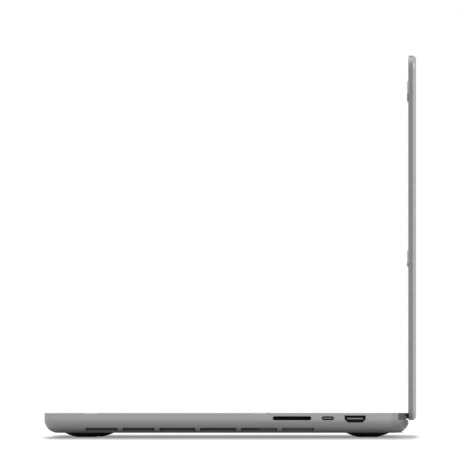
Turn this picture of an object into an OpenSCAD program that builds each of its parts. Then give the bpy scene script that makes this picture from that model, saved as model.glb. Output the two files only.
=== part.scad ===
// Slim laptop computer with a folding lid, a chiclet keyboard and a click pad.
// Millimetres. +X is the user's right, +Y the rear, +Z up, and the desk is at z = 0.
// The lid stands upright at rest. The origin is below the middle of the object's box.

/* [Case] */
// Width of the deck on each side of the keyboard opening
deck_side = 39.8; // [38:0.1:44]
// Depth of the deck from the keyboard opening to the rear edge
deck_rear = 20.9; // [20.5:0.1:24]
// Height of the deck above the top of the circuit board
over_board = 7.05; // [6.9:0.05:7.6]
// Height of the space between the cover and the circuit board
under_board = 4.05; // [3.7:0.05:4.4]
// Height of the flat underside above the desk, which the feet make
foot_h = 2.85; // [2.4:0.05:3.2]
// Radius of the case's upright corners and of its lower edge
case_r = 9; // [8:0.1:9.4]
// Radius that softens the rim of the deck
rim_r = 0.5; // [0.3:0.05:0.7]
// Thickness of the deck
deck_t = 1.6; // [1.4:0.05:1.8]
// Thickness of the case's side walls
wall_t = 2.2; // [1.9:0.1:2.5]
// Thickness of the bottom cover
cover_t = 1.2; // [1:0.05:1.4]
// Height above the underside of the joint between the cover and the case
joint_rise = 3.4; // [3.1:0.1:3.9]
// Thickness of the walls around the hinge trough
trough_t = 1.8; // [1.5:0.1:2]

/* [Cover vents, feet and screws] */
// Distance from the front edge to the first vent in the cover's side
vent_from = 28.1; // [22:0.1:32]
// Bridge between two vents
vent_gap = 3.4; // [2.5:0.1:5]
// Distance from the case's edges to the centre of each foot
foot_inset = 28.3; // [26:0.1:34]
// Radius of a foot where it meets the cover
foot_r = 14.8; // [13:0.1:16]
// Radius of the flat patch that a foot rests on
foot_flat_r = 6.3; // [4:0.1:8]
// Depth of the well that holds a foot
foot_well = 0.5; // [0.3:0.05:0.7]
// Distance from the case's edges to the corner screws
screw_inset = 12; // [11:0.1:13]
// Radius of a screw's shank
screw_r = 0.9; // [0.7:0.05:1.1]
// Radius of a screw's head
screw_head_r = 1.9; // [1.6:0.05:2.2]

/* [Lid] */
// Thickness of the lid
lid_t = 5.05; // [4.9:0.05:6]
// Gap between the closed lid and the deck
lid_gap = 1.2; // [1.15:0.05:1.5]
// Radius along the outer edge of the lid
lid_edge_r = 2.4; // [1.6:0.1:2.6]
// Radius of the lid's corners at its free end
lid_free_r = 9; // [7:0.1:12]
// Radius of the lid's corners at the hinge
lid_hinge_r = 12.4; // [10:0.1:13]
// Thickness of the lid's back
lid_back_t = 1; // [0.8:0.05:1.2]
// Width of the metal rim round the screen
lid_rim = 2.2; // [2:0.05:2.8]
// Width of the rubber seal round the screen
seal_w = 1.2; // [0.9:0.05:1.6]
// Height of the seal above the rim
seal_proud = 0.15; // [0.1:0.05:0.4]
// Thickness of the screen's glass
glass_t = 0.9; // [0.7:0.05:1]
// Thickness of the display panel
panel_t = 2; // [1.6:0.05:2.1]
// Height of the strip between the hinge edge and the screen
chin_h = 10; // [8:0.1:14]
// Height of the pads on the lid's rim
pad_proud = 1.05; // [0.7:0.05:1.1]
// Length of a pad on the lid or on the deck
pad_len = 9.4; // [7:0.1:12]

/* [Hinge] */
// Distance from the case's rear face forward to the hinge axis
hinge_back = 3.2; // [3:0.05:3.5]
// Depth of the hinge axis below the deck
hinge_drop = 1.65; // [1.5:0.05:1.8]
// Distance from the case's sides to each hinge
hinge_in = 72.85; // [68:0.05:80]
// Radius of a hinge pin
pin_r = 1; // [0.8:0.05:1.2]
// Radial clearance of the lid's knuckles on the pins
pin_play = 0.05; // [0.02:0.01:0.08]
// Radius of the hinge knuckles
knuckle_r = 1.65; // [1.5:0.05:1.8]
// Length of a lid knuckle
knuckle_len = 10; // [8:0.5:14]
// Thickness of a bracket's ear
ear_t = 2.2; // [1.8:0.1:3]
// Angle past upright to which the lid opens
lid_tilt = 35; // [30:1:45]

/* [Keyboard] */
// Distance from one key to the next
key_pitch = 19; // [18:0.05:19.2]
// Gap between two keys
key_gap = 2.6; // [2:0.1:3.2]
// Height of a key cap
key_h = 1.2; // [1:0.05:1.3]
// Travel of a key
key_travel = 1; // [0.7:0.05:1.1]
// Depth of the key tops below the deck
key_sink = 0.2; // [0.1:0.05:0.4]
// Depth of the web between the keys below the deck
web_sink = 0.85; // [0.75:0.05:0.95]

/* [Click pad] */
// Width of the click pad
touch_w = 160; // [130:1:164]
// Depth of the click pad, front to rear
touch_d = 99; // [85:0.5:99.5]
// Distance from the front edge to the click pad
touch_front = 7; // [6.5:0.1:8.5]
// Distance from the click pad to the keyboard opening
touch_gap = 6.6; // [6:0.1:9]
// Thickness of the click pad
touch_t = 1.3; // [1.1:0.05:1.4]
// Travel of the click pad's front edge
touch_travel = 0.3; // [0.2:0.05:0.4]

/* [Ports] */
// Depth of the card slot's and the data ports' centre below the deck
port_drop = 3.55; // [3.4:0.05:3.65]
// Depth of the video port's centre below the deck
video_drop = 4.07; // [4:0.01:4.2]
// Distance from the rear edge to the video port
video_back = 36.7; // [34:0.1:39]
// Distance from the video port to the data port on the right
data_gap = 18.5; // [17:0.1:20]
// Distance from the data port on the right to the memory card slot
card_gap = 24.4; // [22:0.1:26]
// Distance from the rear edge to the power inlet
power_back = 35.1; // [33:0.1:37]
// Distance from the power inlet to the first data port on the left
left_data_gap = 17.5; // [16:0.1:19]
// Distance between the two data ports on the left
left_data_pitch = 14; // [12.5:0.1:15]
// Distance from the second data port on the left to the headphone socket
sound_gap = 15.5; // [12:0.1:17]

/* [Fans] */
// Radius of a fan's blades
blade_r = 25; // [22:0.5:25.5]
// Number of blades in a fan
blade_count = 25; // [17:2:31]
// Radius of a fan's shaft
shaft_r = 1.5; // [1.2:0.1:2]

/* [Hidden] */
$fn = 64;

// Small amount by which a cutting solid runs past the face that it cuts
past = 0.5;
// Gap left round parts that move or drop in
play = 0.3;

// Keyboard: every key is [row from the front, start and width in key units, half height or 0]
rows = 6;
units = 14.5;
key_size = key_pitch - key_gap;
key_r = 1.7;
key_skin = 0.7;
key_margin = 1.6;
half_gap = 0.8;
key_clear = 0.35;
field_w = units * key_pitch - key_gap + 2 * key_margin;
field_d = rows * key_pitch - key_gap + 2 * key_margin;
field_r = 3;
flange = 2.5;
function run(row, start, count) = [for (i = [0 : count - 1]) [row, start + i, 1, 0]];
escape_keys = [[5, 0, 1.5, 0]];
function_row = run(5, 1.5, 12);
power_keys = [[5, 13.5, 1, 0]];
number_row = run(4, 0, 13);
delete_keys = [[4, 13, 1.5, 0]];
tab_keys = [[3, 0, 1.5, 0]];
upper_row = run(3, 1.5, 13);
caps_keys = [[2, 0, 1.75, 0]];
home_row = run(2, 1.75, 11);
return_keys = [[2, 12.75, 1.75, 0]];
left_shift_keys = [[1, 0, 2.25, 0]];
lower_row = run(1, 2.25, 10);
right_shift_keys = [[1, 12.25, 2.25, 0]];
left_modifiers = concat(run(0, 0, 3), [[0, 3, 1.25, 0]]);
space_keys = [[0, 4.25, 5, 0]];
right_modifiers = [[0, 9.25, 1.25, 0], [0, 10.5, 1, 0]];
left_arrow = [[0, 11.5, 1, -1]];
down_arrow = [[0, 12.5, 1, -1]];
up_arrow = [[0, 12.5, 1, 1]];
right_arrow = [[0, 13.5, 1, -1]];
all_keys = concat(escape_keys, function_row, power_keys, number_row, delete_keys, tab_keys,
    upper_row, caps_keys, home_row, return_keys, left_shift_keys, lower_row,
    right_shift_keys, left_modifiers, space_keys, right_modifiers, left_arrow,
    down_arrow, up_arrow, right_arrow);

// The case is as large as what it holds: the keyboard with its deck, and the stack below it
board_t = 1.2;
inside_low = foot_h + cover_t;
board_low = inside_low + under_board;
board_top = board_low + board_t;
deck_h = board_top + over_board;
case_w = field_w + 2 * deck_side;
touch_rear = touch_front + touch_d;
field_front = touch_rear + touch_gap;
field_rear = field_front + field_d;
field_mid = (field_front + field_rear) / 2;
case_d = field_rear + deck_rear;

// Overall depth: the case and the part of the lid that stands behind it
lid_inner = case_d - hinge_back + hinge_drop + lid_gap;
lid_outer = lid_inner + lid_t;
lid_low = deck_h - hinge_drop - hinge_back;
front_y = -lid_outer / 2;

// Heights inside the case
inside_high = deck_h - deck_t;
joint_h = foot_h + joint_rise;
key_top = deck_h - key_sink;
web_top = deck_h - web_sink;
web_t = 0.8;
plate_top = key_top - key_h - key_travel - play;
plate_t = 0.6;
plate_low = plate_top - plate_t;

// Hinge axis, seen from the side, and the trough round it
hinge_x = case_w / 2 - hinge_in;
pivot_u = case_d - hinge_back;
pivot_h = deck_h - hinge_drop;
lid_reach = hinge_drop + lid_gap;
sweep_gap = 0.35;
sweep_r = sqrt(lid_reach * lid_reach + hinge_back * hinge_back) + sweep_gap;
cover_round = 2.5;
cover_end_gap = 0.4;
cover_foot = 1.2;
trough_d = 5.4;
trough_gap = 0.45;
trough_front = pivot_u - trough_d;
trough_floor = pivot_h - cover_round - trough_gap;
recess_in = 9.5;
recess_half = case_w / 2 - recess_in;
corner_drop = 1.38;
corner_sweep_r = sweep_r - corner_drop;
corner_in = 4;
corner_half = case_w / 2 - corner_in;
window = knuckle_len + 2 * ear_t + 4 * play;
tongue_t = 1.7;
arm_web = 1.6;
arm_low = 2.2;
arm_gap = 0.1;

// Lengths of the vents in each side of the cover, front to rear
vent_lengths = [21.7, 21.7, 24.4, 24.4, 24.4, 21.7];
function vent_start(i) = i == 0 ? vent_from : vent_start(i - 1) + vent_lengths[i - 1] + vent_gap;
vents_end = vent_start(len(vent_lengths) - 1) + vent_lengths[len(vent_lengths) - 1];
vent_in = 2.2;
vent_rise = 0.7;
rib_t = 1.2;

// Pads that part the closed lid and the deck: centres of the lid's, from the front edge
pad_at = [21.7, 136.8];
pad_w = 1.6;
pad_edge = 0.3;
pad_slope = 0.9;
deck_pad_w = 2.7;
deck_pad_sink = 0.7;
deck_pad_proud = 0.2;

// Click pad, its bracket and the rail that it tips on
touch_top = deck_h - 0.12;
touch_low = touch_top - touch_t;
touch_r = 4;
rail_r = 0.6;
rail_back = 3;
rail_u = touch_rear - rail_back;
bracket_top = touch_low - touch_travel - 0.25;
bracket_t = 0.9;
bracket_low = bracket_top - bracket_t;
bracket_lap = 4;
bracket_front = 3;
bracket_rear = touch_gap - flange - 2 * play;
switch_w = 6;

// Circuit board and ports
board_back = 23;
board_d = 75;
board_rear = case_d - board_back;
board_front = board_rear - board_d;
port_h = deck_h - port_drop;
video_h = deck_h - video_drop;
port_face = case_w / 2 - wall_t;
port_clear = 1;
contact_gap = 0.9;
video_at = case_d - video_back;
data_at = video_at - data_gap;
card_at = data_at - card_gap;
power_at = case_d - power_back;
left_data_at = [power_at - left_data_gap, power_at - left_data_gap - left_data_pitch];
sound_at = power_at - left_data_gap - left_data_pitch - sound_gap;
card_size = [26.3, 2.7];
card_depth = 25.5;
data_size = [8.4, 2.6];
data_depth = 9;
data_tongue = [6.4, 0.7];
video_size = [14.35, 4.83];
video_depth = 12;
video_chamfer = 2.2;
video_tongue = [10.8, 0.8];
sound_r = 1.75;
sound_rim = 0.35;
sound_depth = 12;
power_size = [15, 4.2];
power_depth = 7;
power_pin_r = 0.6;
power_pitch = 2.4;

// Posts under the deck that the circuit board is held against
post_r = 1.8;
post_x = field_w / 2 + flange + post_r + 1;
post_in = 6;

// Speakers, battery and their neighbours
cell_low = inside_low + 0.8;
cell_gap = 1;
speaker_in = 7.2;
speaker_w = 22;
speaker_front = 26;
speaker_rear = board_front - 4;
grille_w = 20;
grille_gap = 7.95;
grille_x = field_w / 2 + grille_gap + grille_w / 2;
grille_d = field_d - 2;
grille_t = 0.8;
grille_r = 2;
grille_ledge = 1;

// Fans and cooler
fan_in = 10;
fan_x = hinge_x - fan_in;
fan_wall = 1;
fan_back = 19;
fan_mouth = 8;
fan_rear = case_d - fan_back;
fan_mid = fan_rear - blade_r - fan_mouth;
fan_half = blade_r + 3;
fan_low = inside_low + 0.5;
fan_high = plate_low;
fan_clear = 1.2;
fan_seat = 0.5;
inlet_r = 15;
hub_r = 8;
blade_t = 0.6;
rotor_h = fan_high - fan_low - 2 * fan_wall - fan_seat - play;
rotor_cap = 1;
fin_rear = trough_front - trough_t - play;
fin_lift = 1.8;
fin_low = inside_low + fin_lift;
fin_high = trough_floor - trough_t - 0.25;
fin_t = 0.5;
fin_count = 18;
duct_in = 2;
duct_half = fan_half - duct_in;
duct_low = fin_high - 1;
duct_h = trough_floor - fin_high + 0.2;
chip_in = 35;
chip_u = board_front + chip_in;
chip_w = 36;
chip_d = 28;
chip_t = 1.5;
memory_w = 10;
memory_d = 13;
memory_t = 1.1;
memory_gap = 4;
sink_lap = 4;
sink_plate_t = 1.2;
pipe_w = 12;
pipe_d = 5;
pipe_low = inside_low + 0.3;
pipe_rear = fin_rear - 1;

// Screws: two along each half of the front and of the rear, and their bosses
boss_r = screw_r + 1.7;
screw_head_h = 0.6;
corner_screw_x = case_w / 2 - screw_inset;
inner_screw_x = touch_w / 2 + bracket_lap + play + boss_r + 7.1;
rear_screw_x = fan_x - fan_half - 24;
rear_screw_u = pivot_u - 3.2;
screw_places = [[corner_screw_x, screw_inset], [inner_screw_x, screw_inset - 3],
    [corner_screw_x, case_d - screw_inset], [rear_screw_x, rear_screw_u]];

// Hollow in the front edge that lets a finger under the lid
notch_r = 1.6;
notch_w = 60;

// Lid: how deep the glass sits, and the inside of its rim
seat_t = lid_t - 0.1 - glass_t;
inner_rim = lid_rim + 2;
lid_rim_r = 0.2;
camera_w = 28;
camera_d = 4.8;
camera_t = 2;

// --- Shared shapes ---

// Moves from the front edge of the case to the object's own origin
module from_front() {
    translate([0, front_y, 0]) children();
}

module both_sides() {
    children();
    mirror([1, 0, 0]) children();
}

function arc(centre, r, from, to, steps) =
    [for (i = [0 : steps]) centre + r * [cos(from + (to - from) * i / steps),
                                         sin(from + (to - from) * i / steps)]];

// Rectangle with round corners, about its middle
module rounded_rectangle(w, d, r, steps = 6) {
    x = w / 2 - r;
    y = d / 2 - r;
    polygon(concat(arc([x, y], r, 0, 90, steps), arc([-x, y], r, 90, 180, steps),
        arc([-x, -y], r, 180, 270, steps), arc([x, -y], r, 270, 360, steps)));
}

// Slot with full round ends, about its middle
module stadium(w, h, steps = 12) {
    x = (w - h) / 2;
    polygon(concat(arc([x, 0], h / 2, -90, 90, steps), arc([-x, 0], h / 2, 90, 270, steps)));
}

// Section of a tray's edge: its corner axis at 0, its outside at x = reach, its floor at y = 0
module edge_section(reach, h, low_r, high_r) {
    translate([0, low_r]) square([reach, h - low_r - high_r]);
    square([reach - low_r, low_r]);
    intersection() {
        translate([reach - low_r, low_r]) circle(low_r);
        translate([reach - low_r, 0]) square(low_r);
    }
    if (high_r > 0) {
        translate([0, h - high_r]) square([reach - high_r, high_r]);
        intersection() {
            translate([reach - high_r, h - high_r]) circle(high_r);
            translate([reach - high_r, h - high_r]) square(high_r);
        }
    }
}

// Edge section where the lower radius is the whole reach
module round_section(reach, h, high_r) {
    translate([0, reach]) square([reach, h - reach - high_r]);
    intersection() {
        translate([0, reach]) circle(reach);
        square(reach);
    }
    if (high_r > 0) {
        translate([0, h - high_r]) square([reach - high_r, high_r]);
        intersection() {
            translate([reach - high_r, h - high_r]) circle(high_r);
            translate([reach - high_r, h - high_r]) square(high_r);
        }
    }
}

module tray_section(reach, h, low_r, high_r) {
    if (low_r < reach) edge_section(reach, h, low_r, high_r);
    else round_section(reach, h, high_r);
}

// Solid with upright round corners and a round lower edge, from y = 0 to y = d.
// Its corners meet its edges face to face.
module tray(w, d, h, front_r, rear_r, low_r, high_r = 0) {
    side = max(front_r, rear_r);
    translate([side - w / 2, front_r, 0]) cube([w - 2 * side, d - front_r - rear_r, h]);
    both_sides() {
        translate([w / 2 - side, d - rear_r, 0]) rotate([90, 0, 0])
            linear_extrude(d - front_r - rear_r) tray_section(side, h, low_r, high_r);
        translate([w / 2 - rear_r, d - rear_r, 0])
            rotate_extrude(angle = 90) tray_section(rear_r, h, low_r, high_r);
        translate([w / 2 - front_r, front_r, 0]) rotate([0, 0, -90])
            rotate_extrude(angle = 90) tray_section(front_r, h, low_r, high_r);
    }
    translate([front_r - w / 2, front_r, 0]) rotate([90, 0, 90]) mirror([1, 0, 0])
        linear_extrude(w - 2 * front_r) tray_section(front_r, h, low_r, high_r);
    translate([rear_r - w / 2, d - rear_r, 0]) rotate([90, 0, 90])
        linear_extrude(w - 2 * rear_r) tray_section(rear_r, h, low_r, high_r);
}

// Outline with round corners, from y = 0 to y = d. Its corners meet its edges edge to edge.
module plan_outline(w, d, front_r, rear_r) {
    translate([front_r - w / 2, 0]) square([w - 2 * front_r, front_r]);
    translate([-w / 2, front_r]) square([w, d - front_r - rear_r]);
    translate([rear_r - w / 2, d - rear_r]) square([w - 2 * rear_r, rear_r]);
    both_sides() {
        translate([w / 2 - front_r, front_r]) intersection() {
            circle(front_r);
            translate([0, -front_r]) square(front_r);
        }
        translate([w / 2 - rear_r, d - rear_r]) intersection() {
            circle(rear_r);
            square(rear_r);
        }
    }
}

// The whole case's outside
module case_outside() {
    translate([0, 0, foot_h])
        tray(case_w, case_d, deck_h - foot_h, case_r, case_r, case_r, rim_r);
}

// The outside drawn in by t on all sides and below, up to height top
module case_inside(t, top) {
    translate([0, t, foot_h + t])
        tray(case_w - 2 * t, case_d - 2 * t, top - foot_h - t, case_r - t, case_r - t, case_r - t);
}

// Space that the lid and its hinge need at the rear, grown by t on the case's side
module hinge_space(t) {
    translate([-case_w, trough_front - t, trough_floor - t])
        cube([2 * case_w, case_d, deck_h]);
    translate([0, pivot_u, pivot_h]) {
        along_axis(sweep_r + t, 2 * recess_half + past);
        both_sides() translate([recess_half, 0, 0]) rotate([0, 90, 0])
            cylinder(r1 = sweep_r + t, r2 = corner_sweep_r + t, h = recess_in - corner_in);
        rotate([-lid_tilt, 0, 0])
            translate([0, lid_reach - play + 3 * lid_t, -hinge_back - play - t]) rotate([90, 0, 0])
                linear_extrude(3 * lid_t)
                    plan_outline(case_w + 2 * (play + t), case_d, lid_hinge_r + play + t, lid_free_r);
    }
}

module at_screws() {
    both_sides() for (place = screw_places) translate([place[0], place[1], 0]) children();
}

module at_feet() {
    for (x = [foot_inset - case_w / 2, case_w / 2 - foot_inset], u = [foot_inset, case_d - foot_inset])
        translate([x, u, 0]) children();
}

// A solid that points out of the right or the left side, drawn on its side's face
module on_side(side, at, h) {
    translate([side * port_face, at, h]) rotate([90, 0, side * 90]) children();
}

// Block of a port's body, from its seat on the wall inwards
module port_block(side, at, depth, body_w) {
    translate([side > 0 ? port_face - depth : -port_face, at - body_w / 2, board_top])
        cube([depth, body_w, inside_high - board_top]);
}

// Cuts a port's outline through the wall, and the room for its body behind the wall
module port_cut(side, at, h, depth, body_w) {
    on_side(side, at, h) translate([0, 0, -past]) linear_extrude(wall_t + 2 * past) children();
    port_block(side, at, depth, body_w);
}

module video_outline() {
    w = video_size[0] / 2;
    h = video_size[1] / 2;
    polygon([[-w, h], [w, h], [w, video_chamfer - h], [w - video_chamfer, -h],
        [video_chamfer - w, -h], [-w, video_chamfer - h]]);
}

// --- Case ---

module top_case() {
    color("#9b9b9b") from_front() {
        difference() {
            case_outside();
            translate([-case_w, -case_d, 0]) cube([2 * case_w, 3 * case_d, joint_h]);
            difference() {
                case_inside(wall_t, inside_high);
                hinge_space(trough_t);
                at_screws() cylinder(r = boss_r, h = deck_h);
                board_posts();
            }
            hinge_space(0);
            at_screws() cylinder(r = screw_r, h = joint_h + 4);
            deck_openings();
            port_openings();
            exhaust_openings();
            bracket_openings();
            deck_pads();
            finger_notch();
        }
        at_screws() boss_ends();
    }
}

// Posts under the deck that the circuit board is held against
module board_posts() {
    both_sides() for (u = [board_front + post_in, board_rear - post_in])
        translate([post_x, u, board_top]) cylinder(r = post_r, h = deck_h);
}

// The screw bosses below the joint, down to the cover
module boss_ends() {
    difference() {
        translate([0, 0, inside_low]) cylinder(r = boss_r, h = joint_h - inside_low);
        cylinder(r = screw_r, h = deck_h);
    }
}

module deck_openings() {
    translate([0, field_mid, inside_high - past])
        linear_extrude(2 * deck_t) rounded_rectangle(field_w, field_d, field_r);
    translate([0, touch_front + touch_d / 2, inside_high - past])
        linear_extrude(2 * deck_t) rounded_rectangle(touch_w + 2 * play, touch_d + 2 * play, touch_r + play);
    both_sides() translate([grille_x, field_mid, deck_h - grille_t]) {
        linear_extrude(deck_t) rounded_rectangle(grille_w, grille_d, grille_r);
        translate([0, 0, -deck_t]) linear_extrude(2 * deck_t)
            rounded_rectangle(grille_w - 2 * grille_ledge, grille_d - 2 * grille_ledge,
                grille_r - grille_ledge);
    }
}

module port_openings() {
    port_cut(1, card_at, port_h, card_depth, card_size[0] + 2 * port_clear)
        stadium(card_size[0], card_size[1]);
    port_cut(1, data_at, port_h, data_depth, data_size[0] + 2 * port_clear)
        stadium(data_size[0], data_size[1]);
    port_cut(1, video_at, video_h, video_depth, video_size[0] + 2 * port_clear)
        video_outline();
    for (at = left_data_at)
        port_cut(-1, at, port_h, data_depth, data_size[0] + 2 * port_clear)
            stadium(data_size[0], data_size[1]);
    port_cut(-1, power_at, port_h, power_depth, power_size[0] + 2 * port_clear)
        stadium(power_size[0], power_size[1]);
    port_cut(-1, sound_at, port_h, sound_depth, 2 * sound_r + 3 * port_clear)
        circle(sound_r + sound_rim);
}

// Ducts from the coolers to the hinge trough
module exhaust_openings() {
    both_sides() translate([fan_x - duct_half, fin_rear, duct_low])
        cube([2 * duct_half, case_d, duct_h]);
}

// Slots through the trough's front wall for the hinge brackets
module bracket_openings() {
    both_sides() translate([hinge_x - window / 2 + play, trough_front - trough_t - past, pivot_h - knuckle_r])
        cube([window - 2 * play, trough_t + 2 * past, tongue_t]);
}

// Seats of the pads in the rim of the deck
module deck_pads() {
    both_sides() for (i = [0, 1])
        translate([case_w / 2 - deck_pad_w, pad_at[i] + pad_len / 2 + 0.4, deck_h - deck_pad_sink])
            cube([deck_pad_w, pad_len, deck_pad_sink + i * deck_pad_proud]);
}

// Hollow in the front edge that lets a finger under the lid
module finger_notch() {
    translate([0, 0, deck_h]) rotate([0, 90, 0]) rotate_extrude() {
        translate([0, notch_r - notch_w / 2]) square([notch_r, notch_w - 2 * notch_r]);
        for (end = [-1, 1]) intersection() {
            translate([0, end * (notch_w / 2 - notch_r)]) circle(notch_r);
            translate([0, end > 0 ? notch_w / 2 - notch_r : -notch_w / 2]) square(notch_r);
        }
    }
}

module bottom_cover() {
    color("#8f8f8f") from_front() {
        cover_shell();
        both_sides() baffle();
    }
}

// Low wall behind the vents. Under the speaker it carries the speaker's box.
module baffle() {
    translate([case_w / 2 - case_r - rib_t, vent_from, inside_low]) {
        cube([rib_t, speaker_rear - vent_from, cell_low - inside_low]);
        translate([0, speaker_rear - vent_from, 0])
            cube([rib_t, vents_end - speaker_rear, under_board - play]);
    }
}

module cover_shell() {
    difference() {
        case_outside();
        translate([-case_w, -case_d, joint_h]) cube([2 * case_w, 3 * case_d, deck_h]);
        case_inside(cover_t, deck_h);
        both_sides() for (i = [0 : len(vent_lengths) - 1])
            translate([case_w / 2 - case_r + vent_in, vent_start(i), foot_h + vent_rise])
                cube([case_r, vent_lengths[i], joint_rise]);
        at_feet() translate([0, 0, foot_h]) cylinder(r = foot_r - 1, h = foot_well);
        at_screws() {
            translate([0, 0, foot_h - past]) cylinder(r = screw_r + 0.1, h = 2 * cover_t + past);
            translate([0, 0, foot_h]) cylinder(r = screw_head_r, h = screw_head_h);
            translate([0, 0, foot_h - past]) cylinder(r = screw_head_r, h = past);
        }
        at_screws() translate([0, 0, inside_low]) cylinder(r = boss_r, h = joint_rise);
    }
}

// Domed feet: a sphere that passes through the flat patch's rim and the rim at the cover
module rubber_feet() {
    dome_h = (foot_r * foot_r - foot_flat_r * foot_flat_r + foot_h * foot_h) / (2 * foot_h);
    dome_r = sqrt(dome_h * dome_h + foot_flat_r * foot_flat_r);
    color("#262626") from_front() at_feet() rotate_extrude() {
        intersection() {
            translate([0, dome_h]) circle(dome_r);
            square([foot_r, foot_h]);
        }
        translate([0, foot_h]) square([foot_r - 1, foot_well]);
    }
}

module bottom_screws() {
    color("#4a4a4a") from_front() at_screws() difference() {
        union() {
            translate([0, 0, foot_h]) cylinder(r = screw_head_r, h = screw_head_h);
            translate([0, 0, foot_h + screw_head_h]) cylinder(r = screw_r, h = joint_rise + 2);
        }
        translate([0, 0, foot_h - past]) cylinder(r = screw_r, h = past + 0.35, $fn = 5);
    }
}

module deck_stop_pads() {
    color("#cfcfcf") from_front() deck_pads();
}

// --- Keyboard and click pad ---

// Moves to the middle of a key
module at_key(key) {
    half = key[3];
    translate([(key[1] + key[2] / 2 - units / 2) * key_pitch,
        field_front + key_margin + key[0] * key_pitch + key_size / 2 + half * (key_size + half_gap) / 4, 0])
        children();
}

// A key's outline, grown by extra
module key_outline(key, extra) {
    depth = key[3] == 0 ? key_size : (key_size - half_gap) / 2;
    rounded_rectangle(key[2] * key_pitch - key_gap + 2 * extra, depth + 2 * extra, key_r + extra);
}

module keyboard_frame() {
    color("#1c1c1c") from_front() difference() {
        union() {
            translate([0, field_mid, web_top - web_t])
                linear_extrude(web_t) rounded_rectangle(field_w, field_d, field_r);
            translate([0, field_mid, plate_top]) linear_extrude(inside_high - plate_top)
                rounded_rectangle(field_w + 2 * flange, field_d + 2 * flange, field_r + 1);
        }
        translate([0, field_mid, plate_top - past])
            linear_extrude(web_top - web_t - plate_top + past)
                rounded_rectangle(field_w - key_margin, field_d - key_margin, field_r - 0.5);
        translate([0, 0, plate_top]) linear_extrude(deck_h) for (key = all_keys)
            at_key(key) key_outline(key, key_clear);
    }
}

module keyboard_plate() {
    color("#6e6e6e") from_front() translate([0, field_mid, plate_low])
        linear_extrude(plate_t) difference() {
            rounded_rectangle(field_w + 2 * flange, field_d + 2 * flange, field_r + 1);
            for (i = [-4 : 4]) translate([i * 1.5 * key_pitch, key_pitch / 2]) circle(1.5);
        }
}

// Rubber domes that return the keys
module key_domes() {
    dome_r = min(2.4, key_size / 4 - 1);
    color("#bdbdb4") from_front() for (key = all_keys)
        at_key(key) translate([0, 0, plate_top])
            cylinder(r1 = dome_r, r2 = dome_r - 0.7, h = key_h - key_skin + play - 0.1);
}

// The caps of a group of keys, hollow below
module key_caps(keys) {
    color("#202020") from_front() for (key = keys) at_key(key) difference() {
        translate([0, 0, key_top - key_h]) linear_extrude(key_h) key_outline(key, 0);
        translate([0, 0, key_top - key_h - past]) linear_extrude(key_h + past - key_skin)
            key_outline(key, -0.9);
    }
}

module power_button() { key_caps(power_keys); }
module escape_key() { key_caps(escape_keys); }
module function_keys() { key_caps(function_row); }
module number_keys() { key_caps(number_row); }
module delete_key() { key_caps(delete_keys); }
module tab_key() { key_caps(tab_keys); }
module upper_letter_keys() { key_caps(upper_row); }
module caps_lock_key() { key_caps(caps_keys); }
module home_letter_keys() { key_caps(home_row); }
module return_key() { key_caps(return_keys); }
module left_shift_key() { key_caps(left_shift_keys); }
module lower_letter_keys() { key_caps(lower_row); }
module right_shift_key() { key_caps(right_shift_keys); }
module left_modifier_keys() { key_caps(left_modifiers); }
module space_bar() { key_caps(space_keys); }
module right_modifier_keys() { key_caps(right_modifiers); }
module left_arrow_key() { key_caps(left_arrow); }
module right_arrow_key() { key_caps(right_arrow); }
module up_arrow_key() { key_caps(up_arrow); }
module down_arrow_key() { key_caps(down_arrow); }

module trackpad() {
    color("#a0a0a0") from_front() translate([0, touch_front + touch_d / 2, touch_low])
        linear_extrude(touch_t) rounded_rectangle(touch_w, touch_d, touch_r);
}

// Tray under the click pad, hung from the deck, with the round rail that the pad tips on
module trackpad_bracket() {
    outer_w = touch_w + 2 * (play + bracket_lap);
    outer_d = touch_d + 2 * play + bracket_front + bracket_rear;
    shift = (bracket_rear - bracket_front) / 2;
    color("#7d7d7d") from_front() {
        translate([0, touch_front + touch_d / 2, 0]) difference() {
            translate([0, shift, bracket_low]) linear_extrude(inside_high - bracket_low)
                rounded_rectangle(outer_w, outer_d, touch_r);
            translate([0, 0, bracket_top]) linear_extrude(deck_h)
                rounded_rectangle(touch_w + 2 * play, touch_d + 2 * play, touch_r + play);
        }
        translate([0, rail_u, touch_low - rail_r]) along_axis(rail_r, touch_w - 2 * touch_r);
    }
}

module trackpad_switch() {
    color("#c8c8c8") from_front() translate([-switch_w / 2, touch_front + switch_w, bracket_top])
        cube([switch_w, switch_w, touch_low - touch_travel - bracket_top - 0.03]);
}

// --- Inside the case ---

// A plate cut out round the two fans
module logic_board() {
    color("#1f4a33") from_front() translate([0, 0, board_top - board_t]) linear_extrude(board_t)
        difference() {
            translate([speaker_in - case_w / 2, board_front])
                square([case_w - 2 * speaker_in, board_rear - board_front]);
            both_sides() translate([fan_x - fan_half - play, fan_mid - fan_half - play])
                square([2 * (fan_half + play), case_d]);
        }
}

module processor() {
    color("#3a3a3a") from_front() translate([-chip_w / 2, chip_u - chip_d / 2, board_low - chip_t])
        cube([chip_w, chip_d, chip_t]);
}

module memory_chips() {
    color("#2a2a2a") from_front() both_sides() for (i = [0, 1])
        translate([chip_w / 2 + memory_gap, chip_u + i * (chip_d / 2 + 1) - chip_d / 2, board_low - memory_t])
            cube([memory_w, memory_d, memory_t]);
}

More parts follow.
